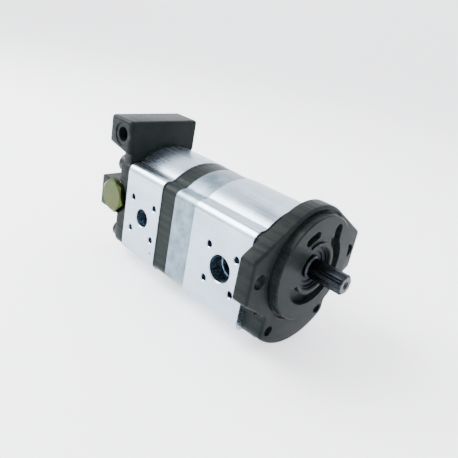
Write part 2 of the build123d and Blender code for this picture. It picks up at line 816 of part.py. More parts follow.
def middle_seal():
    outer = middle_seal_diameter / 2
    back_x = housing_back - middle_seal_width
    lip_inner = journal_radius + seal_lip_clearance
    shell = seal_ring(outer - seal_case_wall, outer, housing_back, back_x)
    web = seal_ring(lip_inner, outer, back_x, back_x + seal_case_wall)
    sleeve_front = housing_back - seal_case_wall
    return shell + web + seal_ring(lip_inner, lip_inner + seal_case_wall, back_x, sleeve_front)


# Fasteners
def body_bolt(y, z):
    head_front = rear_cover_back - washer_thickness
    head_back = head_front - bolt_head_height
    shank = rod_x(bolt_diameter, head_front, -bolt_end_depth, y, z)
    shank = chamfer(shank.edges().group_by(Axis.X)[-1], bolt_end_chamfer)
    head = rod_x(bolt_head_diameter, head_front, head_back, y, z)
    head = chamfer(head.edges().group_by(Axis.X)[0], bolt_end_chamfer)
    socket = Pos(y, z) * RegularPolygon(bolt_socket_size / 2, 6, major_radius=False)
    return shank + head - along_x(socket, head_back - overshoot, head_back + bolt_socket_depth)


def bolt_washer(y, z):
    back_x = rear_cover_back - washer_thickness
    washer = rod_x(washer_diameter, rear_cover_back, back_x, y, z)
    return washer - rod_x(bolt_hole_diameter, rear_cover_back + overshoot, back_x - overshoot, y, z)


# Relief valve
def relief_plug():
    outer = relief_hex_inner - relief_hex_height
    hexagon = RegularPolygon(relief_hex_size / 2, 6, major_radius=False, rotation=relief_hex_turn)
    hexagon = Pos(*relief_axis) * hexagon
    head = along_y(hexagon, relief_hex_inner, outer)
    corner = relief_hex_size / math.sqrt(3)
    rim = relief_hex_size / 2
    flare = corner - rim
    dome = rod_y(2 * corner, relief_hex_inner, outer + flare, *relief_axis)
    dome = dome + cone_y(corner, rim - relief_hex_chamfer, outer + flare, outer, *relief_axis)
    head = head & dome
    thread = rod_y(relief_thread_diameter, relief_hex_inner, relief_thread_end, *relief_axis)
    pocket_end = relief_thread_end + overshoot
    return head + thread - rod_y(relief_bore_diameter, relief_spring_start, pocket_end, *relief_axis)


def relief_washer():
    ring = rod_y(relief_washer_diameter, relief_seat_face, relief_hex_inner, *relief_axis)
    ends = (relief_seat_face + overshoot, relief_hex_inner - overshoot)
    return ring - rod_y(relief_thread_diameter, *ends, *relief_axis)


def relief_seat():
    body = rod_y(relief_bore_diameter, relief_seat_front, relief_bore_end, *relief_axis)
    ends = (relief_seat_front - overshoot, relief_bore_end + overshoot)
    body = body - rod_y(relief_seat_hole, *ends, *relief_axis)
    hole = relief_seat_hole / 2
    mouth = hole + relief_cone_length
    cone_end = relief_seat_front + relief_cone_length
    return body - cone_y(mouth, hole, relief_seat_front, cone_end, *relief_axis)


def relief_poppet():
    body = rod_y(relief_poppet_diameter, relief_poppet_front, relief_seat_front, *relief_axis)
    hole = relief_seat_hole / 2
    mouth = hole + relief_cone_length
    cone_end = relief_seat_front + relief_cone_length
    body = body + cone_y(mouth, hole, relief_seat_front, cone_end, *relief_axis)
    nose_front = relief_poppet_front - relief_poppet_nose_length
    return body + rod_y(relief_poppet_nose_diameter, nose_front, relief_poppet_front, *relief_axis)


def relief_spring():
    ends = (relief_spring_start, relief_poppet_front)
    return coil(relief_spring_wire, relief_spring_diameter, relief_spring_turns, *ends, *relief_axis)


# Flow divider in the top block
def flow_spool():
    diameter = flow_bore_diameter - 2 * flow_spool_clearance
    spool = rod_y(diameter, flow_spool_start, flow_spool_end, *flow_axis)
    middle = (flow_spool_start + flow_spool_end) / 2
    half = flow_spool_groove_length / 2
    ring = rod_y(diameter + overshoot, middle - half, middle + half, *flow_axis)
    core = diameter - 2 * flow_spool_groove_depth
    ring = ring - rod_y(core, middle - half - overshoot, middle + half + overshoot, *flow_axis)
    nose_end = flow_spool_end + flow_spool_nose_length
    return spool - ring + rod_y(flow_spool_nose_diameter, flow_spool_end, nose_end, *flow_axis)


def flow_spring():
    ends = (flow_spool_end, flow_plug_inner)
    return coil(flow_spring_wire, flow_spring_diameter, flow_spring_turns, *ends, *flow_axis)


def flow_plug():
    plug = rod_y(flow_plug_diameter, flow_plug_inner, flow_plug_outer, *flow_axis)
    socket = Pos(*flow_axis) * RegularPolygon(flow_plug_socket_size / 2, 6, major_radius=False)
    plug = plug - along_y(socket, flow_plug_outer - flow_plug_socket_depth, flow_plug_outer + overshoot)
    return plug - flow_ring_shape()


def flow_ring_shape():
    ring_end = flow_plug_inner + 2 * flow_ring_section
    start = ring_end - flow_ring_section
    band = rod_y(flow_plug_diameter, start, ring_end, *flow_axis)
    core = flow_plug_diameter - 2 * flow_ring_section
    return band - rod_y(core, start - overshoot, ring_end + overshoot, *flow_axis)


# Writing the nodes
def build_nodes():
    front = (cover_back, front_gear_front, front_gear_back, front_body_back)
    rear = (plate_back, rear_gear_front, rear_gear_back, rear_body_back)
    case, lip, garter = shaft_seal_parts()
    seal_faces = [(cover_back, 1), (front_body_back, -1), (plate_back, 1), (rear_body_back, -1)]
    section_seals = [section_seal(x, side * section_seal_depth) for x, side in seal_faces]
    section_seals.append(round_seal(housing_back, -section_seal_depth))
    joint_faces = [cover_back, front_body_back, housing_back, plate_back, rear_body_back]
    spans = {"front": block_spans(*front), "rear": block_spans(*rear)}
    front_ports = (suction_port_diameter, pressure_port_diameter)
    nodes = {
        "front_cover": [front_cover()],
        "front_body": [pump_body(cover_back, front_body_back, front_port_x, *front_ports)],
        "coupling_housing": [coupling_housing()],
        "middle_plate": [middle_plate()],
        "rear_body": [rear_body()],
        "rear_cover": [rear_cover()],
        "drive_shaft": [drive_shaft()],
        "coupling_sleeve": [coupling_sleeve()],
        "rear_drive_shaft": [rear_drive_shaft()],
        "front_driven_gear": [driven_gear(*front)],
        "rear_driven_gear": [driven_gear(*rear)],
        "shaft_seal_case": [case],
        "shaft_seal_lip": [lip],
        "shaft_seal_spring": [garter],
        "seal_circlip": [seal_circlip()],
        "middle_seal": [middle_seal()],
        "section_seals": section_seals,
        "dowel_pins": [pin for x in joint_faces for pin in dowels_at(x)],
        "body_bolts": [body_bolt(y, z) for y, z in bolt_places],
        "bolt_washers": [bolt_washer(y, z) for y, z in bolt_places],
        "relief_plug": [relief_plug()],
        "relief_washer": [relief_washer()],
        "relief_seat": [relief_seat()],
        "relief_poppet": [relief_poppet()],
        "relief_spring": [relief_spring()],
        "flow_spool": [flow_spool()],
        "flow_spring": [flow_spring()],
        "flow_plug": [flow_plug()],
        "flow_plug_ring": [flow_ring_shape()],
    }
    for name, pair in spans.items():
        nodes[name + "_bearing_blocks"] = [bearing_block(*span) for span in pair]
        nodes[name + "_balance_seals"] = [balance_seal(*span) for span in pair]
        nodes[name + "_journal_bushes"] = [
            journal_bush(*span, z) for span in pair for z in (0, -centre_distance)
        ]
    return nodes


def write_nodes():
    os.makedirs("parts", exist_ok=True)
    for name, solids in build_nodes().items():
        shape = solids[0] if len(solids) == 1 else Compound(children=solids)
        shape.label = name
        export_step(shape, "parts/" + name + ".step")


write_nodes()
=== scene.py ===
import math

import bpy
from mathutils import Matrix, Vector


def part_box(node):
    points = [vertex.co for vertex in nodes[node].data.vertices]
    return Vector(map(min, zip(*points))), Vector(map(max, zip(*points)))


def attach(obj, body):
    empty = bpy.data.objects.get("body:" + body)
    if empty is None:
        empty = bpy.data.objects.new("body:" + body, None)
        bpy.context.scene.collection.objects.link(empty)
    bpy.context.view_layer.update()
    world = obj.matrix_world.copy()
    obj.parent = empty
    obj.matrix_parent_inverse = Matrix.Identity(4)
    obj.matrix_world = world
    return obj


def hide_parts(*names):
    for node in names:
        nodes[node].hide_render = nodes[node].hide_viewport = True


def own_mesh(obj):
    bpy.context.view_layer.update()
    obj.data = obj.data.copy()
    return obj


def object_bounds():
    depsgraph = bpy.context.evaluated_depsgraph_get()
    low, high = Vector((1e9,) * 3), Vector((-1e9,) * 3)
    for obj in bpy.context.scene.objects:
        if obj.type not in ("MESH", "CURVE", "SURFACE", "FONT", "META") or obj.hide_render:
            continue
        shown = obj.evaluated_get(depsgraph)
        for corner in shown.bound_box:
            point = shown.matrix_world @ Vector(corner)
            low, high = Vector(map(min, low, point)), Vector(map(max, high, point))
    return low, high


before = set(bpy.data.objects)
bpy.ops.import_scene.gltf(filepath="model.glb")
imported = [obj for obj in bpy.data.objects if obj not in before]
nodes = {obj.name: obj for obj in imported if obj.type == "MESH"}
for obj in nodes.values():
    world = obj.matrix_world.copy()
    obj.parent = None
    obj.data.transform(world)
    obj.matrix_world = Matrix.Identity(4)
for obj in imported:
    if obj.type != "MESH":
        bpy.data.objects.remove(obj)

cad_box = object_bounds()

# Stations along the shaft, from the frame, in metres
pilot_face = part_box("front_cover")[1].x
cover_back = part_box("front_body")[1].x
rear_body_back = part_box("rear_body")[0].x
bolt_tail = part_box("body_bolts")[1].x
rear_cover_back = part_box("bolt_washers")[1].x
gear_drop = 0.030
casing_centre = -gear_drop / 2

# Allowances: how far a tool runs past the face that it opens, and how near counts as on a face
past = 0.001
match = 0.00001

# Casing section
casing_half_width = (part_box("middle_plate")[1].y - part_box("middle_plate")[0].y) / 2
dome_radius = 0.0515
lug_half_height = 0.0395
upper_corner_radius = 0.0072
lower_corner_radius = 0.0090
upper_blend_radius = 0.0060
lower_blend_radius = 0.0030

# Mounting flange and pilot
flange_thickness = 0.0125
rim_radius = 0.0462
ear_half_span = 0.0627
ear_top = 0.0154
ear_bottom = -0.0163
ear_corner_radius = 0.0040
lobe_half_width = 0.0383
lobe_bottom = -0.0659
lobe_bottom_radius = 0.0572
lobe_corner_radius = 0.0070
lobe_overlap = 0.003
notch_height = -0.0324
notch_radius = 0.0045
flange_edge = 0.0020
pilot_radius = 0.041275
pilot_chamfer = 0.0008
groove_inner_radius = 0.0422
groove_outer_radius = 0.0439
groove_depth = 0.0014
ear_hole_radius = 0.00555
ear_hole_reach = 0.0532

# Recesses in the pilot's face
seal_boss_radius = 0.0205
recess_radius = 0.0290
recess_depth = 0.0052
recess_angles = (-154, 47)
drop_radius = 0.0043
drop_reach = 0.0330
drop_angle = 58.5
drop_tail_angle = 43
bean_radius = 0.0033
bean_reach = 0.0292
bean_angles = (107, 124)
step_radius = 0.0255
step_depth = 0.0014
step_overlap = 2
seal_bore_radius = 0.0170
seal_bore_floor = -0.0044
seal_bore_chamfer = 0.0008
circlip_groove = (0.0026, 0.0041)
circlip_groove_radius = 0.0182
shaft_passage_radius = 0.0095
bolt_across = 0.030
bolt_rise = 0.032
section_bolt_places = [
    (side * bolt_across, casing_centre + end * bolt_rise) for side in (-1, 1) for end in (-1, 1)
]
bolt_hole_radius = 0.0055
bolt_shank_radius = 0.0050
bolt_clearance = 0.0001
bolt_tap_radius = 0.00425

# Top block, relief boss and their bores; a pair is a bore's radius and the place where it ends
block_left = -0.0447
block_right = 0.0280
block_front = rear_body_back - 0.003
block_rear = rear_body_back - 0.032
block_bottom = 0.0304
block_rear_bottom = 0.0355
block_top = 0.0593
block_edge = 0.0028
web_bottom = 0.012
web_left = -0.0412
web_inset = 0.002
web_edge = 0.0016
flow_axis = (rear_body_back - 0.014, 0.0463)
flow_spotface = (0.0100, block_left + 0.0008)
flow_port = (0.0062, block_left + 0.0140)
flow_passage_radius = 0.0035
flow_bore_radius = 0.0060
flow_bore_start = -0.0240
flow_plug = (0.0085, 0.0170)
boss_left = -0.04325
boss_right = 0.020
boss_top = 0.0022
boss_bottom = -0.0260
boss_rear = rear_cover_back - 0.0264
boss_edge = 0.0015
boss_root = 0.002
cover_edge = 0.0015
cover_band = 0.0012
cover_band_width = 0.0034
cover_band_foot = 0.0265
relief_axis = (rear_body_back - 0.0175, -0.0096)
relief_seat = boss_left + 0.00275
relief_spotface_radius = 0.0160
relief_thread = (0.0090, relief_seat + 0.0150)
relief_bore = (0.0065, relief_seat + 0.0385)
drain_radius = 0.0025
drain_reach = 0.014


# Drawing outlines: points in (across, up)
def polar(radius, angle, centre=(0, 0)):
    turn = math.radians(angle)
    return (centre[0] + radius * math.cos(turn), centre[1] + radius * math.sin(turn))


def arc(centre, radius, start, end, steps=12):
    """Points on an arc from one angle in degrees to another."""
    return [polar(radius, start + (end - start) * i / steps, centre) for i in range(steps + 1)]


def rounded_corner(before, corner, after, radius):
    """The arc that rounds a corner between two straight sides."""
    corner = Vector(corner)
    into = (Vector(before) - corner).normalized()
    out = (Vector(after) - corner).normalized()
    half = into.angle(out) / 2
    centre = corner + (into + out).normalized() * radius / math.sin(half)
    start = corner + into * radius / math.tan(half) - centre
    sweep = math.degrees(start.angle_signed(corner + out * radius / math.tan(half) - centre))
    first = math.degrees(math.atan2(start.y, start.x))
    return arc(centre, radius, first, first - sweep, 6)


def mirrored(points):
    """The same points on the other side, in the order that closes the outline."""
    return [(-across, up) for across, up in reversed(points)]


def flange_outline():
    """The flange: a round rim, an ear on each side and the lobe below."""
    span = math.hypot(ear_top, ear_half_span)
    tilt = math.degrees(math.atan2(ear_top, ear_half_span) + math.acos(rim_radius / span))
    foot = (lobe_half_width, notch_height)
    lobe_centre = (0, lobe_bottom + lobe_bottom_radius)
    across = lobe_half_width - lobe_corner_radius
    drop = math.sqrt((lobe_bottom_radius - lobe_corner_radius) ** 2 - across**2)
    corner_centre = (across, lobe_centre[1] - drop)
    low_angle = -math.degrees(math.atan2(drop, across))
    low_ear = (ear_half_span, ear_bottom)
    high_ear = (ear_half_span, ear_top)
    right = arc(lobe_centre, lobe_bottom_radius, -90, low_angle, 24)
    right += arc(corner_centre, lobe_corner_radius, low_angle, 0, 8)[1:]
    right += rounded_corner((lobe_half_width, corner_centre[1]), foot, low_ear, notch_radius)
    right += rounded_corner(foot, low_ear, high_ear, ear_corner_radius)
    right += rounded_corner(low_ear, high_ear, polar(rim_radius, tilt), ear_corner_radius)
    right += arc((0, 0), rim_radius, tilt, 90, 32)
    return right + mirrored(right)[1:-1]


def casing_quarter(grow, corner_radius, blend):
    """One quarter of the casing section, from its side to the top of the dome."""
    half_width = casing_half_width + grow
    lug_top = lug_half_height + grow
    radius = dome_radius + grow
    corner = (half_width - corner_radius, lug_top - corner_radius)
    blend_up = lug_top + blend
    blend_centre = (math.sqrt((radius + blend) ** 2 - blend_up**2), blend_up)
    touch = math.degrees(math.atan2(blend_up, blend_centre[0]))
    points = arc(corner, corner_radius, 0, 90, 10)
    points += arc(blend_centre, blend, 270, 180 + touch, 6)
    return points + arc((0, 0), radius, touch, 90, 28)[1:]


def casing_outline(grow=0.0):
    """The casing section: domes above and below, flat sides and four corner lugs."""
    upper = casing_quarter(grow, upper_corner_radius, upper_blend_radius)
    lower = casing_quarter(grow, lower_corner_radius, lower_blend_radius)
    top = upper + mirrored(upper)[1:]
    below = [(across, -up) for across, up in reversed(lower + mirrored(lower)[1:])]
    return [(across, casing_centre + up) for across, up in top + below]


def sector_outline(inner, outer, start, end):
    return arc((0, 0), outer, start, end, 24) + arc((0, 0), inner, end, start, 24)


# Modelling helpers, each one a few of the modelling operators
def deselect():
    bpy.ops.object.select_all(action="DESELECT")


def take(piece):
    """Makes a piece the only selected and the active one."""
    deselect()
    piece.select_set(True)
    bpy.context.view_layer.objects.active = piece
    return piece


def keep(name):
    """Names the primitive just added and puts its place into its mesh."""
    piece = bpy.context.active_object
    piece.name = name
    piece.data.name = name
    bpy.ops.object.transform_apply(location=True, rotation=True, scale=True)
    return piece


def placed(axis, along, across, up):
    """A point from its place along an axis and across it: (Y, Z) across X, or (X, Z) across Y."""
    return Vector((along, across, up)) if axis == "X" else Vector((across, along, up))


def trace(name, points, closed=True):
    """Draws a line by extruding one vertex from point to point, and fills it if it is closed."""
    deselect()
    bpy.ops.mesh.primitive_plane_add(size=0.001, location=points[0])
    piece = keep(name)
    bpy.ops.object.mode_set(mode="EDIT")
    bpy.ops.mesh.select_all(action="SELECT")
    bpy.ops.mesh.merge(type="CENTER")
    for before, after in zip(points, points[1:]):
        bpy.ops.mesh.extrude_region_move(TRANSFORM_OT_translate={"value": after - before})
    bpy.ops.mesh.select_all(action="SELECT")
    if closed:
        bpy.ops.mesh.edge_face_add()
    bpy.ops.object.mode_set(mode="OBJECT")
    return piece


def face_outwards(piece):
    take(piece)
    bpy.ops.object.mode_set(mode="EDIT")
    bpy.ops.mesh.select_all(action="SELECT")
    bpy.ops.mesh.remove_doubles(threshold=0.000001)
    bpy.ops.mesh.normals_make_consistent(inside=False)
    bpy.ops.object.mode_set(mode="OBJECT")
    return piece


def slab(name, outline, start, end, axis="X"):
    """An outline drawn across an axis and extruded along it."""
    piece = trace(name, [placed(axis, start, across, up) for across, up in outline])
    bpy.ops.object.mode_set(mode="EDIT")
    depth = placed(axis, end - start, 0, 0)
    bpy.ops.mesh.extrude_region_move(TRANSFORM_OT_translate={"value": depth})
    bpy.ops.object.mode_set(mode="OBJECT")
    return face_outwards(piece)


def rod(name, radius, start, end, centre=(0, 0), axis="X", sides=64):
    """A cylinder from one station to another; centre is its place across the axis."""
    deselect()
    middle = placed(axis, (start + end) / 2, *centre)
    turn = (0, math.radians(90), 0) if axis == "X" else (math.radians(-90), 0, 0)
    bpy.ops.mesh.primitive_cylinder_add(
        vertices=sides, radius=radius, depth=abs(end - start), location=middle, rotation=turn
    )
    return keep(name)


def block(name, low, high):
    """A box between two corners."""
    deselect()
    low = Vector(low)
    high = Vector(high)
    bpy.ops.mesh.primitive_cube_add(size=1, location=(low + high) / 2)
    bpy.context.active_object.scale = high - low
    return keep(name)


def turned(name, profile, steps):
    """A line of (along, radius) points spun round the shaft; a ring's line ends where it starts."""
    points = [Vector((along, 0, radius)) for along, radius in profile]
    piece = trace(name, points, closed=False)
    bpy.ops.object.mode_set(mode="EDIT")
    bpy.ops.mesh.select_all(action="SELECT")
    bpy.ops.mesh.spin(steps=steps, angle=math.radians(360), center=(0, 0, 0), axis=(1, 0, 0))
    bpy.ops.object.mode_set(mode="OBJECT")
    face_outwards(piece)
    bpy.ops.object.mode_set(mode="EDIT")
    bpy.ops.mesh.dissolve_limited(angle_limit=math.radians(0.5))
    bpy.ops.object.mode_set(mode="OBJECT")
    return piece


def combine(piece, other, operation):
    """Joins another solid to a piece, or cuts it away."""
    take(piece)
    modifier = piece.modifiers.new("combine", "BOOLEAN")
    modifier.operation = operation
    modifier.solver = "EXACT"
    modifier.object = other
    bpy.ops.object.modifier_apply(modifier=modifier.name)
    bpy.data.objects.remove(other)
    return piece


def cut(piece, *tools):
    for tool in tools:
        combine(piece, tool, "DIFFERENCE")
    return piece


def join(piece, *others):
    for other in others:
        combine(piece, other, "UNION")
    return piece


def soften(piece, width, segments=3, angle=35):
    """Rounds the edges that are sharper than an angle."""
    take(piece)
    modifier = piece.modifiers.new("soften", "BEVEL")
    modifier.width = width
    modifier.segments = segments
    modifier.limit_method = "ANGLE"
    modifier.angle_limit = math.radians(angle)
    modifier.miter_outer = "MITER_ARC"
    bpy.ops.object.modifier_apply(modifier=modifier.name)
    return piece


def round_edges(piece, width, segments, wanted):
    """Rounds the edges whose both ends are wanted points."""
    take(piece)
    for vertex in piece.data.vertices:
        vertex.select = wanted(vertex.co)
    for edge in piece.data.edges:
        edge.select = all(piece.data.vertices[index].select for index in edge.vertices)
    for face in piece.data.polygons:
        face.select = False
    bpy.ops.object.mode_set(mode="EDIT")
    bpy.ops.mesh.select_mode(type="EDGE")
    bpy.ops.mesh.bevel(offset=width, segments=segments, affect="EDGES")
    bpy.ops.mesh.select_mode(type="VERT")
    bpy.ops.object.mode_set(mode="OBJECT")
    return piece


def smooth(piece, angle=32):
    take(piece)
    bpy.ops.object.shade_smooth_by_angle(angle=math.radians(angle))
    return piece


def finish_piece(piece, material, body, slot, *replaced):
    """Gives a finished piece its material and body, and hides the nodes that it stands for."""
    piece.data.materials.clear()
    piece.data.materials.append(material)
    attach(piece, body)
    if replaced:
        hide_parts(*replaced)
    return piece


# Castings
def sector_pocket(name, inner, outer, angles, floor, top):
    return slab(name, sector_outline(inner, outer, *angles), floor, top)


def slot_outline(start, end, radius):
    """Two round ends joined by straight sides."""
    run = Vector(end) - Vector(start)
    heading = math.degrees(math.atan2(run.y, run.x))
    return arc(end, radius, heading - 90, heading + 90) + arc(start, radius, heading + 90, heading + 270)


def bent_slot_outline(reach, radius, angles):
    """A slot that follows an arc round the shaft."""
    first, last = angles
    start_cap = arc(polar(reach, first), radius, first + 180, first + 360)
    end_cap = arc(polar(reach, last), radius, last, last + 180)
    outer = arc((0, 0), reach + radius, first, last)[1:-1]
    inner = arc((0, 0), reach - radius, last, first)[1:-1]
    return start_cap + outer + end_cap + inner


def make_front_cover():
    """The flange casting with its ears, lower lobe, pilot and recessed seal boss."""
    cover = slab("front_cover_casting", flange_outline(), 0, -flange_thickness)
    round_edges(cover, flange_edge, 4, lambda point: point.x > -match)
    half = -flange_thickness / 2
    neck = slab("neck", casing_outline(), half, cover_back)
    reach = 2 * dome_radius
    for side in (-1, 1):
        inner, outer = sorted((side * (lobe_half_width - lobe_overlap), side * reach))
        cut(neck, block("neck_side", (cover_back - past, inner, -reach), (0, outer, notch_height)))
    lobe = slab("lobe", lobe_outline(), half, cover_back)
    top = pilot_face
    pilot = rod("pilot", pilot_radius, half, top, sides=128)
    round_edges(pilot, pilot_chamfer, 1, lambda point: point.x > top - match)
    join(cover, neck, lobe, pilot)
    floor = top - recess_depth
    above = top + past
    ring = [(above, groove_inner_radius), (above, groove_outer_radius)]
    ring += [(-groove_depth, groove_outer_radius), (-groove_depth, groove_inner_radius), ring[0]]
    seal_profile = [
        (seal_bore_floor, 0),
        (seal_bore_floor, seal_bore_radius),
        (circlip_groove[0], seal_bore_radius),
        (circlip_groove[0], circlip_groove_radius),
        (circlip_groove[1], circlip_groove_radius),
        (circlip_groove[1], seal_bore_radius),
        (top - seal_bore_chamfer, seal_bore_radius),
        (above, seal_bore_radius + seal_bore_chamfer + past),
        (above, 0),
    ]
    drop_tail = polar(recess_radius - drop_radius, drop_tail_angle)
    drop_outline = slot_outline(drop_tail, polar(drop_reach, drop_angle), drop_radius)
    bean = bent_slot_outline(bean_reach, bean_radius, bean_angles)
    step_angles = (recess_angles[1] - step_overlap, bean_angles[1])
    cut(
        cover,
        turned("groove", ring, 128),
        sector_pocket("recess", seal_boss_radius, recess_radius, recess_angles, floor, above),
        slab("drop", drop_outline, floor, above),
        slab("bean", bean, floor, above),
        sector_pocket("step", seal_boss_radius, step_radius, step_angles, top - step_depth, above),
        turned("seal_bore", seal_profile, 96),
        rod("shaft_passage", shaft_passage_radius, cover_back - past, 0),
    )
    for side in (-1, 1):
        place = (side * ear_hole_reach, 0)
        cut(cover, rod("ear_hole", ear_hole_radius, -flange_thickness - past, past, place))
    for place in section_bolt_places:
        radius = bolt_shank_radius + bolt_clearance
        cut(cover, rod("bolt_hole", radius, cover_back - past, bolt_tail, place, sides=32))
        if place[1] < casing_centre:
            cut(cover, rod("tap", bolt_tap_radius, bolt_tail - past, past, place, sides=48))
    finish_piece(smooth(cover), casting, "casing", "black_casting", "front_cover")


def lobe_outline():
    """The part of the flange below its ears, which runs back to the front body."""
    right = [point for point in flange_outline() if point[0] > 0 and point[1] < notch_height - notch_radius]
    top = (lobe_half_width, notch_height + lobe_overlap)
    right = sorted(right, key=lambda point: point[1]) + [top]
    return [(0, lobe_bottom)] + right + mirrored(right)


def make_rear_cover():
    """The rear casting with the flow divider's block on top and the relief valve's boss behind."""
    cover = slab("rear_cover_casting", casing_outline(), rear_body_back, rear_cover_back)
    soften(cover, cover_edge, 3, 60)
    band = slab("band", casing_outline(cover_band), rear_body_back, rear_body_back - cover_band_width)
    soften(band, cover_band / 2, 2, 60)
    reach = 2 * dome_radius
    low = (rear_cover_back, -reach, -reach)
    cut(band, block("below_band", low, (rear_body_back + past, reach, cover_band_foot)))
    web_corner = (block_front, block_right - web_inset, block_bottom + 2 * block_edge)
    web = block("web", (rear_cover_back, web_left, web_bottom), web_corner)
    soften(web, web_edge, 3)
    side = [
        (block_front, block_bottom),
        (block_front, block_top),
        (block_rear, block_top),
        (block_rear, block_rear_bottom),
    ]
    top_block = soften(slab("top_block", side, block_left, block_right, "Y"), block_edge, 5)
    boss_corner = (rear_cover_back + boss_root, boss_right, boss_top)
    boss = block("boss", (boss_rear, boss_left, boss_bottom), boss_corner)
    soften(boss, boss_edge, 3)
    join(cover, band, web, top_block, boss)
    outside = block_left - past
    relief_outside = -casing_half_width - past
    cut(
        cover,
        rod("flow_spotface", flow_spotface[0], outside, flow_spotface[1], flow_axis, "Y"),
        rod("flow_port", flow_port[0], outside, flow_port[1], flow_axis, "Y"),
        rod("flow_passage", flow_passage_radius, block_left, flow_bore_start + past, flow_axis, "Y", 32),
        rod("flow_bore", flow_bore_radius, flow_bore_start, block_right, flow_axis, "Y"),
        rod("flow_plug_bore", flow_plug[0], flow_plug[1], block_right + past, flow_axis, "Y"),
        rod("relief_spotface", relief_spotface_radius, relief_seat, relief_outside, relief_axis, "Y", 96),
        rod("relief_thread", relief_thread[0], relief_seat - past, relief_thread[1], relief_axis, "Y"),
        rod("relief_bore", relief_bore[0], relief_seat, relief_bore[1], relief_axis, "Y"),
        rod("drain", drain_radius, relief_bore[1] - past, drain_reach, relief_axis, "Y", 32),
    )
    for place in section_bolt_places:
        ends = (rear_cover_back - past, rear_body_back + past)
        cut(cover, rod("bolt_hole", bolt_hole_radius, *ends, place, sides=48))
    finish_piece(smooth(cover), casting, "casing", "black_casting", "rear_cover")


def make_spring(node):
    """A coil from the frame as a piece of its own."""
    spring = bpy.data.objects.new(node + "_coil", nodes[node].data.copy())
    bpy.context.collection.objects.link(spring)
    face_outwards(spring)
    finish_piece(smooth(spring), bright_metal, "casing", "plain_steel", node)
    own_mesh(spring)


# Material helpers
class Wire:
    """A socket on its way through a material; arithmetic on it adds Math nodes."""

    def __init__(self, tree, socket):
        self.tree = tree
        self.socket = socket

    def node(self, kind, settings, inputs, output=0):
        """Adds any node: its settings first, then its sockets' values or links."""
        made = self.tree.nodes.new(kind)
        for name, value in settings.items():
            setattr(made, name, value)
        for key, value in inputs.items():
            if isinstance(value, Wire):
                self.tree.links.new(value.socket, made.inputs[key])
            else:
                made.inputs[key].default_value = value
        return Wire(self.tree, made.outputs[output])

    def maths(self, operation, first, second):
        return self.node("ShaderNodeMath", {"operation": operation}, {0: first, 1: second})

    def __add__(self, other):
        return self.maths("ADD", self, other)

    __radd__ = __add__

    def __sub__(self, other):
        return self.maths("SUBTRACT", self, other)

    def __rsub__(self, other):
        return self.maths("SUBTRACT", other, self)

    def __mul__(self, other):
        return self.maths("MULTIPLY", self, other)

    __rmul__ = __mul__

    def noise(self, scale, detail=3.0, roughness=0.55):
        """Noise read at these coordinates, from 0 to 1."""
        values = {"Vector": self, "Scale": scale, "Detail": detail, "Roughness": roughness}
        return self.node("ShaderNodeTexNoise", {}, values)

    def stretched(self, along_x, along_y, along_z):
        return self.node("ShaderNodeMapping", {}, {"Vector": self, "Scale": (along_x, along_y, along_z)})

    def part(self, axis):
        """One part of a vector."""
        return self.node("ShaderNodeSeparateXYZ", {}, {0: self}, "XYZ".index(axis))

    def step(self, low, high):
        """0 below low, 1 above high and a smooth ramp between."""
        settings = {"interpolation_type": "SMOOTHSTEP"}
        return self.node("ShaderNodeMapRange", settings, {"Value": self, "From Min": low, "From Max": high})

    def colours(self, low, high):
        """A colour between two others."""
        return self.node("ShaderNodeMix", {"data_type": "RGBA"}, {0: self, 6: low, 7: high}, 2)


def colour(red, green, blue):
    return (red, green, blue, 1.0)


def new_material(name, metallic, **constants):
    """A material, its shader, and the object's own coordinates to paint it by."""
    material = bpy.data.materials.new(name)
    material.use_nodes = True
    tree = material.node_tree
    shader = tree.nodes["Principled BSDF"]
    shader.inputs["Metallic"].default_value = metallic
    for socket, value in constants.items():
        shader.inputs[socket.replace("_", " ").title().replace("Ior", "IOR")].default_value = value
    place = Wire(tree, tree.nodes.new("ShaderNodeTexCoord").outputs["Object"])
    return material, shader, place


def feed(shader, socket, wire):
    wire.tree.links.new(wire.socket, shader.inputs[socket])


def bump(shader, height, strength, distance):
    """Raises the surface by a height wire; distance is its depth in metres."""
    values = {"Height": height, "Strength": strength, "Distance": distance}
    feed(shader, "Normal", height.node("ShaderNodeBump", {}, values))


def facing(place, axis):
    """How squarely the surface faces along an axis, from 0 to 1."""
    normal = place.node("ShaderNodeNewGeometry", {}, {}, 1)
    part = normal.part(axis)
    return part.maths("ABSOLUTE", part, 0.0)


# Finishes
def phosphated_casting(name, dark, light, roughness):
    """Black phosphated cast iron: a fine sandy skin, clouded and duller in patches."""
    material, shader, place = new_material(name, 0.0, specular_ior_level=0.05)
    clouds = place.noise(45.0, 4.0)
    grain = place.noise(900.0, 5.0, 0.65)
    draft = place.stretched(20.0, 320.0, 320.0).noise(1.0, 2.0)
    side = 1 - facing(place, "X")
    tone = clouds * 0.5 + grain * 0.35 + (draft * 0.9 - 0.35) * side
    feed(shader, "Base Color", tone.step(0.25, 0.8).colours(dark, light))
    feed(shader, "Roughness", clouds * 0.16 + grain * 0.14 + (roughness - 0.15))
    bump(shader, grain * 0.6 + clouds * 0.5 + draft * side * 2.4, 0.35, 0.0004)
    return material


def extruded_aluminium(name, dark, light, roughness):
    """Satin aluminium with a fine grain along the casing's length."""
    material, shader, place = new_material(name, 1.0)
    grain = place.stretched(14.0, 1500.0, 1500.0).noise(1.0, 4.0, 0.6)
    clouds = place.noise(38.0, 3.0)
    feed(shader, "Base Color", (grain * 0.45 + clouds * 0.55).step(0.25, 0.75).colours(dark, light))
    feed(shader, "Roughness", grain * 0.16 + clouds * 0.10 + (roughness - 0.13))
    bump(shader, grain + clouds * 0.4, 0.22, 0.00012)
    return material


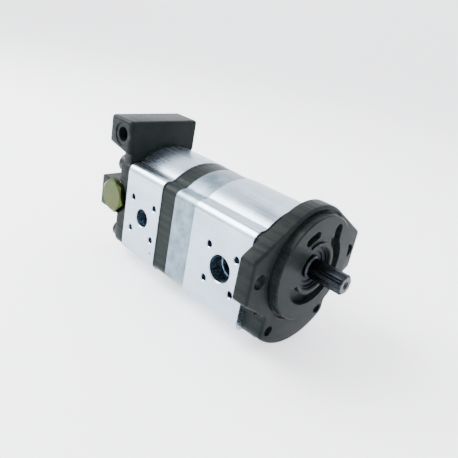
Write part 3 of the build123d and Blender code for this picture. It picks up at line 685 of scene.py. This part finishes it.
def cast_aluminium(name, dark, light, roughness):
    """Die-cast aluminium: matt, with soft clouds and a fine skin."""
    material, shader, place = new_material(name, 1.0)
    clouds = place.noise(70.0, 5.0, 0.6)
    skin = place.noise(1100.0, 3.0)
    feed(shader, "Base Color", clouds.step(0.3, 0.7).colours(dark, light))
    feed(shader, "Roughness", clouds * 0.2 + skin * 0.1 + (roughness - 0.15))
    bump(shader, skin * 0.5 + clouds, 0.25, 0.00025)
    return material


def turned_steel(name, dark, light, roughness):
    """Machined steel with fine rings that follow the cutting."""
    material, shader, place = new_material(name, 1.0)
    marks = place.stretched(2600.0, 200.0, 200.0).noise(1.0, 2.0)
    clouds = place.noise(120.0, 3.0)
    feed(shader, "Base Color", (marks * 0.5 + clouds * 0.5).step(0.3, 0.7).colours(dark, light))
    feed(shader, "Roughness", marks * 0.12 + clouds * 0.1 + (roughness - 0.11))
    bump(shader, marks, 0.15, 0.00005)
    return material


def yellow_chromate(name):
    """Zinc plating passivated yellow, with its green and straw iridescence."""
    material, shader, place = new_material(name, 1.0)
    drift = place.noise(85.0, 4.0, 0.6)
    tint = place.noise(160.0, 2.0)
    fine = place.noise(1400.0, 3.0)
    straw = drift.step(0.35, 0.65).colours(colour(0.052, 0.052, 0.012), colour(0.036, 0.056, 0.013))
    green = tint.step(0.45, 0.7)
    feed(shader, "Base Color", green.colours(straw, colour(0.026, 0.046, 0.018)))
    feed(shader, "Roughness", drift * 0.12 + fine * 0.12 + 0.2)
    bump(shader, fine, 0.12, 0.00008)
    return material


def moulded_rubber(name):
    material, shader, place = new_material(name, 0.0, specular_ior_level=0.12)
    skin = place.noise(700.0, 4.0)
    blue_black = (colour(0.004, 0.005, 0.009), colour(0.011, 0.013, 0.021))
    feed(shader, "Base Color", skin.step(0.3, 0.7).colours(*blue_black))
    feed(shader, "Roughness", skin * 0.15 + 0.45)
    bump(shader, skin, 0.2, 0.0001)
    return material


def bearing_bronze(name):
    material, shader, place = new_material(name, 1.0)
    marks = place.stretched(60.0, 900.0, 900.0).noise(1.0, 3.0)
    brown = (colour(0.42, 0.26, 0.13), colour(0.58, 0.40, 0.22))
    feed(shader, "Base Color", marks.step(0.3, 0.7).colours(*brown))
    feed(shader, "Roughness", marks * 0.15 + 0.28)
    return material


casting = phosphated_casting(
    "phosphated_casting", colour(0.0045, 0.0068, 0.0072), colour(0.0130, 0.0165, 0.0155), 0.36
)
body_metal = extruded_aluminium(
    "extruded_aluminium", colour(0.29, 0.36, 0.43), colour(0.44, 0.53, 0.62), 0.27
)
housing_metal = cast_aluminium(
    "cast_aluminium", colour(0.085, 0.125, 0.155), colour(0.20, 0.26, 0.31), 0.36
)
block_metal = cast_aluminium("block_aluminium", colour(0.5, 0.5, 0.51), colour(0.62, 0.62, 0.63), 0.35)
shaft_metal = turned_steel(
    "dark_shaft_steel", colour(0.011, 0.014, 0.017), colour(0.028, 0.033, 0.038), 0.30
)
gear_metal = turned_steel("ground_steel", colour(0.38, 0.38, 0.39), colour(0.58, 0.58, 0.59), 0.25)
bright_metal = turned_steel("bright_steel", colour(0.50, 0.51, 0.53), colour(0.68, 0.69, 0.71), 0.28)
bolt_metal = turned_steel(
    "black_bolt_steel", colour(0.010, 0.010, 0.011), colour(0.028, 0.028, 0.031), 0.32
)
plug_metal = yellow_chromate("yellow_chromate")
rubber = moulded_rubber("moulded_rubber")
bronze = bearing_bronze("bearing_bronze")

# Carried-over nodes and their finishes
node_finishes = {
    "front_body": body_metal,
    "rear_body": body_metal,
    "coupling_housing": housing_metal,
    "drive_shaft": shaft_metal,
    "rear_drive_shaft": gear_metal,
    "front_driven_gear": gear_metal,
    "rear_driven_gear": gear_metal,
    "coupling_sleeve": gear_metal,
    "shaft_seal_case": rubber,
    "shaft_seal_lip": rubber,
    "shaft_seal_spring": bright_metal,
    "seal_circlip": casting,
    "middle_seal": rubber,
    "section_seals": rubber,
    "dowel_pins": bright_metal,
    "bolt_washers": bright_metal,
    "body_bolts": bolt_metal,
    "relief_plug": plug_metal,
    "relief_washer": bright_metal,
    "relief_seat": bright_metal,
    "relief_poppet": bright_metal,
    "relief_spring": bright_metal,
    "flow_spool": bright_metal,
    "flow_spring": bright_metal,
    "flow_plug": bolt_metal,
    "flow_plug_ring": rubber,
    "front_bearing_blocks": block_metal,
    "rear_bearing_blocks": block_metal,
    "front_balance_seals": rubber,
    "rear_balance_seals": rubber,
    "front_journal_bushes": bronze,
    "rear_journal_bushes": bronze,
    "front_cover": casting,
    "middle_plate": casting,
    "rear_cover": casting,
}

for name, material in node_finishes.items():
    nodes[name].data.materials.clear()
    nodes[name].data.materials.append(material)


# Camera at the photograph's viewing angle, leaning a little to its left
camera_place = Vector((0.1685, -0.2892, 0.1566))
camera_azimuth = 40.78
camera_elevation = 23.18
camera_roll = 11.16
camera_lens = 39.67
camera_sensor = 36.0

# Stage: a floor with walls, and a soft light on each side of the pump
floor_size = 8
floor_gap = 0.0004
wall_height = 5
wall_bend = 1.5
floor_glow = 1.1
surround_glow = 0.5
stage_centre = (-0.08, 0, 0)
lights = (
    ("key", (-0.86, -0.51, 0.90), 0.8, 46),
    ("top", (-0.25, 0.45, 1.2), 1.0, 12),
)


def add_camera():
    azimuth = math.radians(camera_azimuth)
    elevation = math.radians(camera_elevation)
    level = Vector((math.cos(azimuth), math.sin(azimuth), 0))
    outward = Vector((math.sin(azimuth), -math.cos(azimuth), 0))
    back = outward * math.cos(elevation) + Vector((0, 0, math.sin(elevation)))
    turn = Matrix.Rotation(math.radians(camera_roll), 3, back)
    right = turn @ level
    up = turn @ back.cross(level)
    place = Matrix((right, up, back)).transposed().to_4x4()
    place.translation = camera_place
    deselect()
    bpy.ops.object.camera_add()
    camera = bpy.context.active_object
    camera.name = "camera"
    camera.matrix_world = place
    camera.data.lens = camera_lens
    camera.data.sensor_width = camera_sensor
    bpy.context.scene.camera = camera


def add_light(name, place, aim, size, power):
    """A square soft light at a place, turned to a point."""
    deselect()
    bpy.ops.object.light_add(type="AREA", location=place)
    light = bpy.context.active_object
    light.name = name
    light.rotation_euler = (Vector(aim) - Vector(place)).to_track_quat("-Z", "Y").to_euler()
    light.data.size = size
    light.data.energy = power


def add_stage():
    """A pale floor that bends up into far walls, the soft lights and a pale surround."""
    deselect()
    bpy.ops.mesh.primitive_plane_add(size=floor_size, location=(0, 0, cad_box[0].z - floor_gap))
    floor = keep("floor")
    bpy.ops.object.mode_set(mode="EDIT")
    bpy.ops.mesh.select_mode(type="EDGE")
    bpy.ops.mesh.select_all(action="SELECT")
    bpy.ops.mesh.extrude_edges_move(TRANSFORM_OT_translate={"value": (0, 0, wall_height)})
    bpy.ops.mesh.select_mode(type="VERT")
    bpy.ops.object.mode_set(mode="OBJECT")
    soften(floor, wall_bend, 12, 60)
    smooth(floor, 60)
    material, shader, place = new_material("pale_floor", 0.0, emission_strength=floor_glow)
    shader.inputs["Emission Color"].default_value = colour(0.97, 0.98, 1.0)
    tone = place.noise(3.0, 2.0)
    feed(shader, "Base Color", tone.colours(colour(0.86, 0.87, 0.89), colour(0.90, 0.905, 0.92)))
    feed(shader, "Roughness", tone * 0.1 + 0.6)
    floor.data.materials.append(material)
    for name, spot, size, power in lights:
        add_light(name, spot, stage_centre, size, power)
    world = bpy.context.scene.world or bpy.data.worlds.new("surround")
    bpy.context.scene.world = world
    world.use_nodes = True
    background = world.node_tree.nodes["Background"]
    background.inputs["Color"].default_value = colour(0.93, 0.94, 0.97)
    background.inputs["Strength"].default_value = surround_glow


make_front_cover()
make_rear_cover()
make_spring("relief_spring")
make_spring("flow_spring")
add_camera()
add_stage()
